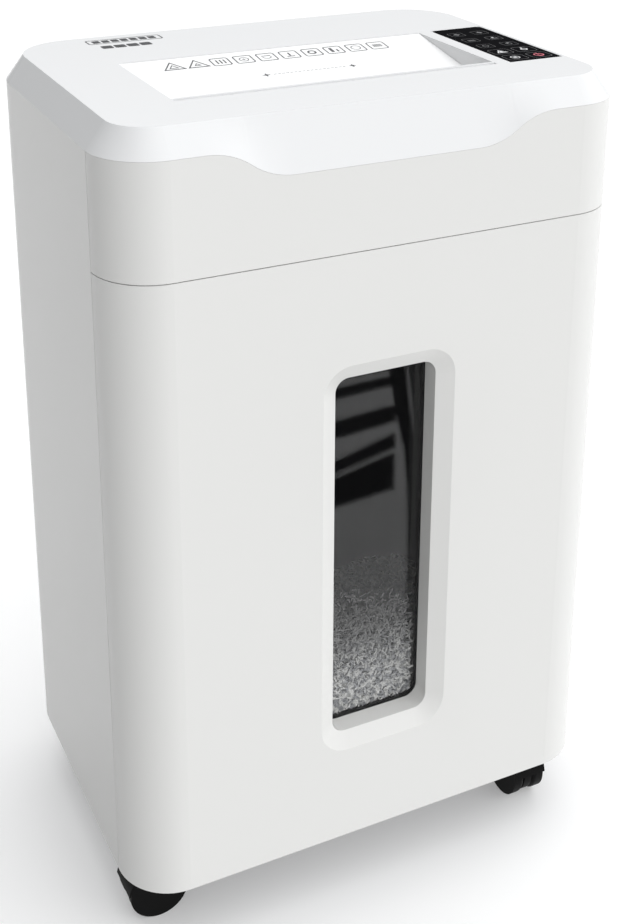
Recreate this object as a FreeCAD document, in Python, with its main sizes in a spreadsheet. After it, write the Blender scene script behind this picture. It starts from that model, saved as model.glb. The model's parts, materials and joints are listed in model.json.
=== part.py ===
import FreeCAD, Part

# Paper shredder with a pull-out waste bin, a twin-shaft cutting head and four swivel casters.
#
# The frame: millimetres, +Z up, the front faces -Y, and the origin is on the floor under the
# middle of the body.  Every sub-part is one document object, written to parts/NODE.step.

import math
import os
import sys
from types import SimpleNamespace

import Sketcher
from FreeCAD import Placement, Rotation, Vector

sys.path.append(os.path.join(FreeCAD.getHomePath(), "Mod", "PartDesign"))
from fcgear import fcgear, involute

DIMENSIONS = {
    # outer body
    "body_width": 345, "body_depth": 252, "front_corner": 36.5, "back_corner": 50,
    "cabinet_bottom": 47.4, "seam_height": 468.4, "shoulder_height": 539.6,
    "body_height": 556, "bevel_inset": 11.7, "wall": 3, "seam_gap": 0.6, "side_gap": 0.6,
    # wavy lower edge of the top cover's front tongue
    "tongue_drop": 18, "tongue_flat": 61, "tongue_reach": 115,
    # window in the drawer front
    "window_shift": 3, "window_half": 46, "window_low": 116.5, "window_high": 395.5,
    "window_corner": 20, "window_bevel": 10.8, "bevel_depth": 6, "pane_depth": 19,
    "pane_thickness": 2.5,
    # feed opening in the top
    "feed_left": 112, "feed_right": 108, "feed_front": 62, "feed_back": 33.5,
    "feed_drop": 13, "feed_draft": 3, "slot_width": 6.5, "plate_thickness": 2.5,
    "lip_groove": 68, "lip_groove_width": 4, "lip_groove_depth": 1.2,
    # touch panel on the top
    "panel_left": 118, "panel_right": 158, "panel_front": 68, "panel_back": 35,
    "panel_depth": 1.5,
    # cutting head
    "deck_thickness": 4, "axis_height": 505, "front_axis": 77, "shaft_spacing": 36,
    "disc_radius": 19.5, "disc_thickness": 3.7, "disc_pitch": 8, "core_radius": 13,
    "journal_radius": 8, "frame_half": 114, "frame_thickness": 4, "bush_radius": 11,
    "running_gap": 0.05,
    # gear train
    "mesh_backlash": 0.25, "sync_teeth": 18, "final_teeth": 32, "second_wheel_teeth": 35,
    "first_wheel_teeth": 42, "pinion_teeth": 14, "final_module": 1.5, "second_module": 1.25,
    "first_module": 1, "gear_width": 8, "pin_radius": 4, "motor_shaft_radius": 3,
    "motor_radius": 30,
    # drawer and bin
    "bin_half": 152, "bin_front": 104.5, "bin_back": 116, "bin_bottom": 76, "bin_top": 440,
    "bin_wall": 2, "bin_corner": 33, "rail_height": 250,
    # casters
    "stem_x": 137, "stem_y": 79, "trail": 8.8, "wheel_radius": 20, "wheel_width": 9,
    "web_half": 3, "hood_gap": 0.5, "hood_skin": 1.1, "collar_bottom": 40.5,
    "stem_radius": 5, "stem_top": 72, "socket_radius": 10, "axle_radius": 2.5,
}
DISC_COUNT = 28
HOOKS_PER_DISC = 3
FLOOR_THICKNESS = 4


class Size:
    """A length that carries both its number and the formula that binds it to the sheet."""

    def __init__(self, number, text):
        self.number = float(number)
        self.text = text

    def __float__(self):
        return self.number

    def __neg__(self):
        return Size(-self.number, f"-({self.text})")

    def __add__(self, other):
        other = as_size(other)
        return Size(self.number + other.number, f"({self.text} + {other.text})")

    def __sub__(self, other):
        other = as_size(other)
        return Size(self.number - other.number, f"({self.text} - {other.text})")

    def __rsub__(self, other):
        return as_size(other) - self

    def __mul__(self, factor):
        factor = as_size(factor)
        return Size(self.number * factor.number, f"({self.text} * {factor.text})")

    def __truediv__(self, factor):
        factor = as_size(factor)
        return Size(self.number / factor.number, f"({self.text} / {factor.text})")

    __radd__ = __add__
    __rmul__ = __mul__


def as_size(value):
    return value if isinstance(value, Size) else Size(value, f"({value})")


doc = FreeCAD.newDocument("paper_shredder")
sheet = doc.addObject("Spreadsheet::Sheet", "dims")
for row, (alias, number) in enumerate(DIMENSIONS.items(), start=1):
    sheet.set(f"A{row}", alias)
    sheet.set(f"B{row}", str(number))
    sheet.setAlias(f"B{row}", alias)
doc.recompute()
d = SimpleNamespace(**{name: Size(number, "dims." + name) for name, number in DIMENSIONS.items()})

# heights, faces and axes that several sub-parts share
front_face = -d.body_depth / 2
split_face = front_face + d.front_corner
inner_half = d.body_width / 2 - d.wall
deck_top = d.seam_height + d.deck_thickness
front_axis_y = -d.front_axis
rear_axis_y = -d.front_axis + d.shaft_spacing
frame_outer = d.frame_half + d.frame_thickness
window_left = d.window_half - d.window_shift
window_right = d.window_half + d.window_shift
window_back = front_face + d.pane_depth

nodes = {}


# ---------------------------------------------------------------- helpers

def keep(node, item):
    """Register a document object as the sub-part that is written to parts/NODE.step."""
    item.Label = node
    nodes[node] = item
    return item


def bind_place(item, corner):
    for axis, value in zip("xyz", corner):
        item.setExpression(f"Placement.Base.{axis}", as_size(value).text)


def box(name, low, high):
    """A box between two opposite corners."""
    item = doc.addObject("Part::Box", name)
    lengths = [as_size(top) - as_size(bottom) for bottom, top in zip(low, high)]
    for side, value in zip(("Length", "Width", "Height"), lengths):
        item.setExpression(side, value.text)
    bind_place(item, low)
    return item


def rod(name, radius, start, length, along="z"):
    """A round bar that starts at a point and runs along one axis."""
    item = doc.addObject("Part::Cylinder", name)
    directions = {"x": Vector(1, 0, 0), "y": Vector(0, 1, 0), "-y": Vector(0, -1, 0),
                  "z": Vector(0, 0, 1)}
    item.Placement = Placement(Vector(), Rotation(Vector(0, 0, 1), directions[along]))
    item.setExpression("Radius", as_size(radius).text)
    item.setExpression("Height", as_size(length).text)
    bind_place(item, start)
    return item


def fuse(name, *items):
    joined = doc.addObject("Part::MultiFuse", name)
    joined.Shapes = list(items)
    return joined


def cut(name, base, *tools):
    """The base less the tools."""
    result = doc.addObject("Part::Cut", name)
    result.Base = base
    result.Tool = tools[0] if len(tools) == 1 else fuse(name + "_tools", *tools)
    return result


def common(name, first, second):
    result = doc.addObject("Part::Common", name)
    result.Base = first
    result.Tool = second
    return result


def group(name, *items):
    """Several separate solids that share one sub-part."""
    result = doc.addObject("Part::Compound", name)
    result.Links = list(items)
    return result


def feature(name, shape, place=None):
    result = doc.addObject("Part::Feature", name)
    result.Shape = shape
    if place:
        result.Placement = place
    return result


def new_sketch(body, name, role, offset):
    """A sketch on one of the body's origin planes, moved along the plane's normal."""
    sketch = body.newObject("Sketcher::SketchObject", name)
    plane = next(item for item in body.Origin.OriginFeatures if item.Role == role)
    sketch.AttachmentSupport = [(plane, "")]
    sketch.MapMode = "FlatFace"
    sketch.setExpression("AttachmentOffset.Base.z", as_size(offset).text)
    return sketch


def hold(sketch, kind, line, value):
    """Fix a line's distance from the sketch's origin; a negative value lies left or below."""
    value = as_size(value)
    if value.number < 0:
        value = -value
        ends = (line, 1, -1, 1)
    else:
        ends = (-1, 1, line, 1)
    index = sketch.addConstraint(Sketcher.Constraint(kind, *ends, value.number))
    sketch.setExpression(f"Constraints[{index}]", value.text)


def outline(sketch, low, high, low_corner, high_corner):
    """A rectangle with rounded corners, tangent all round, with its sizes bound."""
    x0, y0, x1, y1 = (float(value) for value in (*low, *high))
    rl, rh = float(low_corner), float(high_corner)
    first = sketch.GeometryCount
    spans = [((x0 + rl, y0), (x1 - rl, y0)), ((x1, y0 + rl), (x1, y1 - rh)),
             ((x1 - rh, y1), (x0 + rh, y1)), ((x0, y1 - rh), (x0, y0 + rl))]
    for start, end in spans:
        sketch.addGeometry(Part.LineSegment(Vector(*start), Vector(*end)))
    corners = [(x1 - rl, y0 + rl, rl, -90), (x1 - rh, y1 - rh, rh, 0),
               (x0 + rh, y1 - rh, rh, 90), (x0 + rl, y0 + rl, rl, 180)]
    for cx, cy, radius, start in corners:
        circle = Part.Circle(Vector(cx, cy), Vector(0, 0, 1), radius)
        sketch.addGeometry(Part.ArcOfCircle(circle, math.radians(start), math.radians(start + 90)))
    for side in range(4):
        line, arc, following = first + side, first + 4 + side, first + (side + 1) % 4
        sketch.addConstraint(Sketcher.Constraint("Tangent", line, 2, arc, 1))
        sketch.addConstraint(Sketcher.Constraint("Tangent", arc, 2, following, 1))
        sketch.addConstraint(Sketcher.Constraint("Vertical" if side % 2 else "Horizontal", line))
    for arc, radius in zip(range(first + 4, first + 8),
                           (low_corner, high_corner, high_corner, low_corner)):
        index = sketch.addConstraint(Sketcher.Constraint("Radius", arc, float(radius)))
        sketch.setExpression(f"Constraints[{index}]", as_size(radius).text)
    hold(sketch, "DistanceY", first, low[1])
    hold(sketch, "DistanceX", first + 1, high[0])
    hold(sketch, "DistanceY", first + 2, high[1])
    hold(sketch, "DistanceX", first + 3, low[0])


def body_outline(sketch, inset=0):
    """The footprint of the body, drawn in by an inset."""
    half = d.body_width / 2 - inset
    deep = d.body_depth / 2 - inset
    outline(sketch, (-half, -deep), (half, deep), d.front_corner - inset, d.back_corner - inset)


def pad(body, name, sketch, length, reverse=False):
    item = body.newObject("PartDesign::Pad", name)
    item.Profile = (sketch, [""])
    item.Reversed = reverse
    item.setExpression("Length", as_size(length).text)
    return item


def prism(name, bottom, top, *insets):
    """The body's footprint raised between two heights; a second inset makes it a tube."""
    body = doc.addObject("PartDesign::Body", name)
    sketch = new_sketch(body, name + "_outline", "XY_Plane", bottom)
    for inset in insets:
        body_outline(sketch, inset)
    pad(body, name + "_pad", sketch, as_size(top) - as_size(bottom))
    return body


def window_prism(name, start, length, inset, corner):
    """The window's outline, drawn in by an inset and swept towards the back from a face."""
    body = doc.addObject("PartDesign::Body", name)
    sketch = new_sketch(body, name + "_outline", "XZ_Plane", -as_size(start))
    window_outline(sketch, inset, corner)
    pad(body, name + "_pad", sketch, length, reverse=True)
    return body


def window_outline(sketch, inset, corner):
    outline(sketch, (-window_left + inset, d.window_low + inset),
            (window_right - inset, d.window_high - inset), corner, corner)


# ---------------------------------------------------------------- cabinet

def front_zone(name, shift=0, low=0, high=600):
    """Everything in front of the line where the front panels meet the side walls."""
    edge = split_face + shift
    return box(name, (-200, front_face - 20, low), (200, edge, high))


def make_cabinet():
    """Side and back walls in one shell, the floor with its caster sockets, and the rails."""
    ring = prism("cabinet_ring", d.cabinet_bottom, d.seam_height, 0, d.wall)
    shell = cut("cabinet_open", ring, front_zone("cabinet_front_zone"))
    bosses = []
    for number, (side, depth) in enumerate(((-1, -60), (1, -60), (-1, 60), (1, 60)), start=1):
        centre = (side * (inner_half - 7), depth, d.seam_height - 28)
        boss = rod(f"deck_boss_{number}", 8, centre, 28)
        bore = rod(f"deck_boss_bore_{number}", 2.05, centre, 28)
        bosses.append(cut(f"deck_boss_bored_{number}", boss, bore))
    keep("cabinet_shell", fuse("cabinet_shell", shell, *bosses))

    slab = prism("floor_slab", d.cabinet_bottom, d.cabinet_bottom + FLOOR_THICKNESS, d.wall)
    slab = cut("floor_behind_split", slab, front_zone("floor_front_zone"))
    lip = box("floor_front_lip", (-130, -102, d.cabinet_bottom),
              (130, split_face, d.cabinet_bottom + FLOOR_THICKNESS))
    sockets, bores = [], []
    for corner, side, end in CASTER_CORNERS:
        centre = (side * d.stem_x, end * d.stem_y)
        height = d.stem_top + 3 - d.cabinet_bottom
        sockets.append(rod(f"socket_{corner}", d.socket_radius,
                           (*centre, d.cabinet_bottom), height))
        bores.append(rod(f"socket_bore_{corner}", d.stem_radius + d.running_gap,
                         (*centre, d.cabinet_bottom), d.stem_top + 0.5 - d.cabinet_bottom))
    keep("cabinet_floor", cut("cabinet_floor", fuse("floor_body", slab, lip, *sockets), *bores))

    for node, side in (("rail_left", -1), ("rail_right", 1)):
        low = d.rail_height - 6
        ends = sorted((side * 160.0, side * float(inner_half)))
        web = box(f"{node}_web", (ends[0], -85, low), (ends[1], 76, d.rail_height + 6))
        groove = sorted((side * 159.0, side * 166.0))
        slot = box(f"{node}_groove", (groove[0], -90, d.rail_height - 3.3),
                   (groove[1], 72, d.rail_height + 3.3))
        keep(node, cut(node, web, slot))


def make_drawer():
    """The front panel with its window, the smoked pane, the bin and the runners."""
    ring = prism("drawer_ring", d.cabinet_bottom, d.seam_height - d.seam_gap, 0, d.wall)
    skin = common("drawer_skin", ring, front_zone("drawer_zone", -d.side_gap))
    frame = window_prism("window_frame_front", front_face, d.bevel_depth + 1, -3, 22)
    tube = window_prism("window_frame_tube", front_face, d.pane_depth, d.window_bevel - 3, 12)
    ribs = [box(f"drawer_rib_{side}", (x - 1.5, front_face + d.wall, 100),
                (x + 1.5, -d.bin_front, 430)) for side, x in (("left", -112), ("right", 112))]
    opening = window_opening()
    blank = fuse("drawer_blank", skin, frame, tube, *ribs)
    keep("drawer_front", cut("drawer_front", blank, opening))

    keep("window_pane", window_prism("window_pane", window_back, d.pane_thickness,
                                     d.window_bevel - 5, 14))

    body = doc.addObject("PartDesign::Body", "bin_body")
    outer = new_sketch(body, "bin_outline", "XY_Plane", d.bin_bottom)
    outline(outer, (-d.bin_half, -d.bin_front), (d.bin_half, d.bin_back), 12, d.bin_corner)
    pad(body, "bin_pad", outer, d.bin_top - d.bin_bottom)
    inner = new_sketch(body, "bin_inner_outline", "XY_Plane", d.bin_bottom + d.bin_wall)
    outline(inner, (-d.bin_half + d.bin_wall, -d.bin_front + d.bin_wall),
            (d.bin_half - d.bin_wall, d.bin_back - d.bin_wall),
            12 - d.bin_wall, d.bin_corner - d.bin_wall)
    hollow = body.newObject("PartDesign::Pocket", "bin_hollow")
    hollow.Profile = (inner, [""])
    hollow.Reversed = True
    hollow.setExpression("Length", (d.bin_top - d.bin_bottom).text)
    view = window_prism("bin_window", -d.bin_front - 1, 8, d.window_bevel, 9)
    keep("waste_bin", cut("waste_bin", body, view))

    for node, side in (("runner_left", -1), ("runner_right", 1)):
        ends = sorted((side * 152.0, side * 165.4))
        keep(node, box(node, (ends[0], -80, d.rail_height - 3), (ends[1], 70, d.rail_height + 3)))


def window_opening():
    """The cutter for the window: a bevelled mouth, then a straight-sided well."""
    body = doc.addObject("PartDesign::Body", "window_mouth")
    mouth = new_sketch(body, "mouth_outline", "XZ_Plane", -front_face)
    window_outline(mouth, 0, d.window_corner)
    throat = new_sketch(body, "throat_outline", "XZ_Plane", -front_face - d.bevel_depth)
    window_outline(throat, d.window_bevel, d.window_corner - d.window_bevel)
    loft = body.newObject("PartDesign::AdditiveLoft", "window_bevel")
    loft.Profile = (mouth, [""])
    loft.Sections = [(throat, [""])]
    loft.Ruled = True
    well = window_prism("window_well", front_face + d.bevel_depth,
                        d.pane_depth - d.bevel_depth + 1, d.window_bevel,
                        d.window_corner - d.window_bevel)
    lead_in = window_prism("window_lead_in", front_face - 1, 1, 0, d.window_corner)
    return fuse("window_opening", body, well, lead_in)


# ---------------------------------------------------------------- head

def wave_edges(height, shift=0):
    """The wavy line across the front: level, down by two tangent arcs, level, and back up."""
    half = float(d.body_width / 2 - d.front_corner)
    flat, reach = float(d.tongue_flat), float(d.tongue_reach)
    top, low = float(height), float(height - d.tongue_drop)
    middle = (flat + reach) / 2
    radius = (((reach - flat) / 2) ** 2 + (top - low) ** 2 / 4) / (top - low)
    sag_x = (reach - flat) / 4
    sag = radius - math.sqrt(radius ** 2 - sag_x ** 2)
    points = [(-half, top), (-reach, top), (-middle, (top + low) / 2), (-flat, low),
              (flat, low), (middle, (top + low) / 2), (reach, top), (half, top)]
    bends = [None, (-reach + sag_x, top - sag), (-flat - sag_x, low + sag), None,
             (flat + sag_x, low + sag), (reach - sag_x, top - sag), None]
    edges = []
    for start, bend, end in zip(points, bends, points[1:]):
        ends = [Vector(x, 0, z + shift) for x, z in (start, end)]
        if bend:
            curve = Part.Arc(ends[0], Vector(bend[0], 0, bend[1] + shift), ends[1])
        else:
            curve = Part.LineSegment(*ends)
        edges.append(curve.toShape())
    return edges


def above_wave(shift, top=600):
    """A slab that holds everything above the wavy line, in front of the side walls."""
    edges = wave_edges(d.shoulder_height, shift)
    first, last = edges[0].Vertexes[0].Point, edges[-1].Vertexes[-1].Point
    ends = [Vector(-200, 0, first.z), Vector(-200, 0, top), Vector(200, 0, top),
            Vector(200, 0, last.z)]
    chain = [first, *ends, last]
    lines = [Part.LineSegment(a, b).toShape() for a, b in zip(chain, chain[1:])]
    face = Part.Face(Part.Wire(Part.__sortEdges__(edges + lines)))
    face.translate(Vector(0, float(front_face) - 5, 0))
    return face.extrude(Vector(0, float(d.front_corner) + 5 - float(d.side_gap), 0))


def tongue_slope():
    """The solid outside the tongue's ruled slope, from the top's front edge to the wave."""
    edge_y, edge_z = float(front_face + d.bevel_inset), float(d.body_height)
    prisms = []
    for wave in wave_edges(d.shoulder_height):
        wave.translate(Vector(0, float(front_face), 0))
        start, end = (wave.valueAt(p) for p in (wave.FirstParameter, wave.LastParameter))
        top = Part.LineSegment(Vector(start.x, edge_y, edge_z), Vector(end.x, edge_y, edge_z))
        face = Part.makeRuledSurface(top.toShape(), wave)
        prisms.append(face.extrude(Vector(0, -14, 9)))
    return prisms


def make_head():
    """The head's walls, the top cover with its feed opening, the feed plate and the panel."""
    ring = prism("head_ring", d.seam_height, d.shoulder_height, 0, d.wall)
    rear = cut("head_rear_ring", ring, front_zone("head_front_zone"))
    inlet_hole = box("inlet_hole", INLET[0], INLET[1])
    switch_hole = box("switch_hole", SWITCH[0], SWITCH[1])
    keep("head_rear_shell", cut("head_rear_shell", rear, inlet_hole, switch_hole))

    ring = prism("head_front_ring", d.seam_height, d.shoulder_height, 0, d.wall)
    panel = common("head_front_blank", ring, front_zone("head_panel_zone", -d.side_gap))
    keep("head_front_panel", cut("head_front_panel", panel,
                                 feature("panel_wave", above_wave(-0.12))))
    keep("top_cover", make_cover())
    make_feed()
    make_panel()


def cover_shell():
    """The bevelled lid: a ruled loft from the shoulder to the top, hollow underneath."""
    body = doc.addObject("PartDesign::Body", "cover_loft")
    low = new_sketch(body, "cover_low", "XY_Plane", d.shoulder_height)
    body_outline(low)
    high = new_sketch(body, "cover_high", "XY_Plane", d.body_height)
    body_outline(high, d.bevel_inset)
    loft = body.newObject("PartDesign::AdditiveLoft", "cover_bevel")
    loft.Profile = (low, [""])
    loft.Sections = [(high, [""])]
    loft.Ruled = True
    brow_half = d.body_width / 2 - d.front_corner
    brow = box("cover_brow", (-brow_half, front_face, d.shoulder_height - d.tongue_drop - 2),
               (brow_half, front_face + 16, d.body_height))
    cavity = prism("cover_cavity", d.shoulder_height - 1, d.body_height - d.wall,
                   d.bevel_inset + d.wall)
    back_of_brow = box("brow_relief", (-brow_half - 5, front_face + d.wall + 1,
                                       d.shoulder_height - d.tongue_drop - 3),
                       (brow_half + 5, front_face + 20, d.shoulder_height - 8))
    return fuse("cover_blank", body, brow), cavity, back_of_brow


def make_cover():
    blank, cavity, relief = cover_shell()
    walls = box("feed_walls", (-d.feed_left - 2, -d.feed_front - 2.5, 538),
                (d.feed_right + 2, d.feed_back + 2.5, d.body_height - 1))
    hollow = cut("cover_hollow", blank, cavity, relief)
    walled = fuse("cover_walled", hollow, walls)
    opening = feed_opening()
    groove = box("lip_groove", (-d.feed_left, -d.lip_groove, d.body_height - d.lip_groove_depth),
                 (d.feed_right, -d.lip_groove + d.lip_groove_width, 560))
    recess = box("panel_recess", (d.panel_left, -d.panel_front, d.body_height - d.panel_depth),
                 (d.panel_right, d.panel_back, 560))
    shape = cut("cover_cut", walled, opening, groove, recess)
    doc.recompute()
    solid = shape.Shape
    for tool in (*tongue_slope(), below_wave()):
        solid = solid.cut(tool)
    return feature("top_cover", solid)


def feed_opening():
    """The hole for the feed plate: its end walls lean in towards the slot."""
    body = doc.addObject("PartDesign::Body", "feed_opening")
    top = new_sketch(body, "feed_top", "XY_Plane", d.body_height)
    outline(top, (-d.feed_left, -d.feed_front), (d.feed_right, d.feed_back), 1, 1)
    low = new_sketch(body, "feed_low", "XY_Plane", d.body_height - d.feed_drop)
    outline(low, (-d.feed_left + d.feed_draft, -d.feed_front),
            (d.feed_right - d.feed_draft, d.feed_back), 1, 1)
    loft = body.newObject("PartDesign::AdditiveLoft", "feed_taper")
    loft.Profile = (low, [""])
    loft.Sections = [(top, [""])]
    loft.Ruled = True
    well = box("feed_well", (-d.feed_left + d.feed_draft, -d.feed_front, 530),
               (d.feed_right - d.feed_draft, d.feed_back, d.body_height - d.feed_drop))
    return fuse("feed_opening_all", body, well)


def below_wave():
    """Everything in front of the side walls that lies under the wavy line."""
    reach = float(d.body_width)
    slab = Part.makeBox(reach, 40, 60, Vector(-reach / 2, float(front_face) - 5, 500))
    return slab.cut(above_wave(0, 700))


def between_feed_ends(gap):
    """The space between the opening's two leaning end walls, less a gap at each end."""
    left, right = -float(d.feed_left) + gap, float(d.feed_right) - gap
    top, drop = float(d.body_height), float(d.feed_drop)
    lean = float(d.feed_draft) * 2
    low = top - drop * 2
    corners = [(left, top), (right, top), (right - lean, low), (left + lean, low)]
    points = [Vector(x, -200, z) for x, z in corners]
    return Part.Face(Part.makePolygon([*points, points[0]])).extrude(Vector(0, 400, 0))


def make_feed():
    """A wedge-shaped plate that slopes down to the slot, and the chute under the slot."""
    back, front = float(d.feed_back) - 0.3, -float(d.feed_front - d.slot_width)
    top = float(d.body_height) - 0.3
    drop = float(d.feed_drop)
    low = top - drop
    thick = float(d.plate_thickness)
    profile = [(back, top), (front, low), (front, low - thick), (back, top - thick)]
    points = [Vector(-150, y, z) for y, z in profile]
    face = Part.Face(Part.makePolygon([*points, points[0]]))
    strip = face.extrude(Vector(300, 0, 0))
    keep("feed_plate", feature("feed_plate", strip.common(between_feed_ends(0.3))))

    chute_back = -d.feed_front + d.slot_width
    outer = box("chute_outer", (-d.frame_half, -d.feed_front - 2.5, 522),
                (d.frame_half, chute_back + 2.5, 538))
    inner = box("chute_inner", (-d.feed_left + d.feed_draft, -d.feed_front, 520),
                (d.feed_right - d.feed_draft, chute_back, 540))
    keep("paper_chute", cut("paper_chute", outer, inner))
    eye_y = chute_back + 2.5
    eyes = [box(f"sensor_{name}", (x - 5, eye_y, 527), (x + 5, eye_y + 6, 535))
            for name, x in (("middle", 0), ("side", 40))]
    keep("paper_sensors", group("paper_sensors", *eyes))


def make_panel():
    """The touch overlay set into the top, and the board fixed under the cover."""
    body = doc.addObject("PartDesign::Body", "overlay_body")
    sketch = new_sketch(body, "overlay_outline", "XY_Plane", d.body_height - d.panel_depth)
    outline(sketch, (d.panel_left + 0.3, -d.panel_front + 0.3),
            (d.panel_right - 0.3, d.panel_back - 0.3), 4, 4)
    pad(body, "overlay_pad", sketch, d.panel_depth - 0.1)
    keep("control_overlay", body)
    keep("control_board", box("control_board", (d.panel_left + 2, -d.panel_front + 2,
                                                d.body_height - d.wall - 1.6),
                              (d.panel_right - 3, d.panel_back - 2, d.body_height - d.wall)))


# ---------------------------------------------------------------- cutting head

def along_x(x, y, angle=0):
    """Turn a shape drawn about local Z so that it lies along +X at the axis height."""
    turned = Rotation(Vector(0, 1, 0), Vector(0, 0, 1), Vector(1, 0, 0), "ZXY")
    spin = Rotation(Vector(0, 0, 1), angle)
    return Placement(Vector(float(x), float(y), float(d.axis_height)), turned * spin)


def stepped_rod(name, y, steps):
    """A shaft along X made of (radius, start, end) steps."""
    parts = [rod(f"{name}_step_{number}", radius, (start, y, d.axis_height),
                 as_size(end) - as_size(start), "x")
             for number, (radius, start, end) in enumerate(steps, start=1)]
    return fuse(name, *parts)


def hooked_disc():
    """One cutting disc: round, with evenly spaced notches that leave a hook before each."""
    radius, thick = float(d.disc_radius), float(d.disc_thickness)
    disc = Part.makeCylinder(radius, thick)
    notch_depth, notch_angle = 3.0, 30
    tip = radius + 3
    run_out = math.radians(notch_angle)
    points = [Vector(tip, 0, -1), Vector(radius - notch_depth, 0, -1),
              Vector(tip * math.cos(run_out), tip * math.sin(run_out), -1)]
    notch = Part.Face(Part.makePolygon([*points, points[0]])).extrude(Vector(0, 0, thick + 2))
    for hook in range(HOOKS_PER_DISC):
        turned = notch.copy()
        turned.rotate(Vector(), Vector(0, 0, 1), hook * 360 / HOOKS_PER_DISC)
        disc = disc.cut(turned)
    return disc.cut(Part.makeCylinder(float(d.core_radius), thick))


def disc_stack(y, count, direction):
    """The discs of one shaft, each a little further round than the last."""
    disc = hooked_disc()
    half = (count - 1) / 2
    stack = []
    for number in range(count):
        x = (number - half) * float(d.disc_pitch) - float(d.disc_thickness) / 2
        placed = disc.copy()
        placed.Placement = along_x(x, y, direction * number * 13)
        stack.append(placed)
    return Part.makeCompound(stack)


def comb(y, side, count):
    """A bar with one finger in each gap between the discs, hollowed round the shaft."""
    core = float(d.core_radius) + 0.5
    axis = float(d.axis_height)
    bar_near, bar_far, bar_half_height = 21.5, 25, 17
    finger_near, finger_half_height, finger_width = 8, 12, 3.4
    near, far = sorted((float(y) + side * bar_near, float(y) + side * bar_far))
    reach = float(d.frame_half)
    shape = Part.makeBox(2 * reach, far - near, 2 * bar_half_height,
                         Vector(-reach, near, axis - bar_half_height))
    low, high = sorted((float(y) + side * finger_near, float(y) + side * (bar_near + 0.5)))
    middle = (count - 1) / 2
    fingers = []
    for number in range(count):
        x = (number - middle) * float(d.disc_pitch) - finger_width / 2
        fingers.append(Part.makeBox(finger_width, high - low, 2 * finger_half_height,
                                    Vector(x, low, axis - finger_half_height)))
    shape = shape.multiFuse(fingers)
    hollow = Part.makeCylinder(core, 2 * reach)
    hollow.Placement = along_x(-reach, y)
    return shape.cut(hollow)


def make_cutters():
    """Two side plates on tie rods, carrying the cutter shafts in bushes, and the combs."""
    axes = (front_axis_y, rear_axis_y)
    rod_places = [(y, z) for y in (front_axis_y - 21, rear_axis_y + 30) for z in (481, 529)]
    rods = [rod(f"tie_rod_{number}", 4, (-frame_outer, y, z), 2 * frame_outer, "x")
            for number, (y, z) in enumerate(rod_places, start=1)]
    keep("tie_rods", group("tie_rods", *rods))

    for node, inner, back in (("cutter_plate_left", -frame_outer, rear_axis_y + 37),
                              ("cutter_plate_right", d.frame_half, motor_axis_y + 33)):
        blank = box(f"{node}_blank", (inner, front_axis_y - 26, deck_top),
                    (inner + d.frame_thickness, back, 536))
        holes = [rod(f"{node}_seat_{number}", d.bush_radius, (inner, y, d.axis_height),
                     d.frame_thickness, "x") for number, y in enumerate(axes, start=1)]
        holes += [rod(f"{node}_rod_hole_{number}", 4, (inner, y, z), d.frame_thickness, "x")
                  for number, (y, z) in enumerate(rod_places, start=1)]
        if node.endswith("right"):
            holes.append(rod("motor_boss_hole", 8, (inner, motor_axis_y, d.axis_height),
                             d.frame_thickness, "x"))
            holes += [rod(f"{node}_pin_hole_{number}", d.pin_radius,
                          (inner, y, d.axis_height), d.frame_thickness, "x")
                      for number, y in enumerate((first_axis_y, second_axis_y), start=1)]
        keep(node, cut(node, blank, *holes))

    for node, start, length in (("bushes_left", -frame_outer - 2, d.frame_thickness + 2),
                                ("bushes_right", d.frame_half, d.frame_thickness)):
        rings = []
        for number, y in enumerate(axes, start=1):
            ring = rod(f"{node}_ring_{number}", d.bush_radius, (start, y, d.axis_height),
                       length, "x")
            bore = rod(f"{node}_bore_{number}", d.journal_radius + d.running_gap,
                       (start, y, d.axis_height), length, "x")
            rings.append(cut(f"{node}_{number}", ring, bore))
        keep(node, group(node, *rings))

    core = d.frame_half - 0.3
    left_end = -frame_outer - 13
    keep("front_cutter_shaft", stepped_rod("front_cutter_shaft", front_axis_y, [
        (d.core_radius, -core, core), (d.journal_radius, left_end, frame_outer + 1)]))
    keep("rear_cutter_shaft", stepped_rod("rear_cutter_shaft", rear_axis_y, [
        (d.core_radius, -core, core), (d.journal_radius, left_end, frame_outer),
        (7, core, 150), (5, core, 155.5)]))
    keep("front_cutter_discs", feature("front_cutter_discs",
                                       disc_stack(front_axis_y, DISC_COUNT, 1)))
    keep("rear_cutter_discs", feature("rear_cutter_discs",
                                      disc_stack(rear_axis_y, DISC_COUNT - 1, -1)))
    keep("front_comb", feature("front_comb", comb(front_axis_y, -1, DISC_COUNT - 1)))
    keep("rear_comb", feature("rear_comb", comb(rear_axis_y, 1, DISC_COUNT)))


# ---------------------------------------------------------------- gears and motor

def gear(teeth, module, x, y, bore, faces_back):
    """An involute gear on an X axis.  One gear of a meshing pair points a tooth at +Y, and
    the other, which faces back at it, has a gap at -Y."""
    teeth = int(float(teeth))
    builder = fcgear.FCWireBuilder()
    involute.CreateExternalGear(builder, float(module), teeth, 20, True)
    wire = Part.Wire([curve.toShape() for curve in builder.wire])
    width = float(d.gear_width)
    solid = Part.Face(wire).extrude(Vector(0, 0, width))
    solid = solid.cut(Part.makeCylinder(float(bore), width))
    angle = 180 - 180 / teeth if faces_back else 0
    solid.Placement = along_x(x, y, angle)
    return solid


def ring_on_x(outer, bore, start, end, y):
    shape = Part.makeCylinder(float(outer), end - start)
    shape = shape.cut(Part.makeCylinder(float(bore), end - start))
    shape.Placement = along_x(start, y)
    return shape


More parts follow.
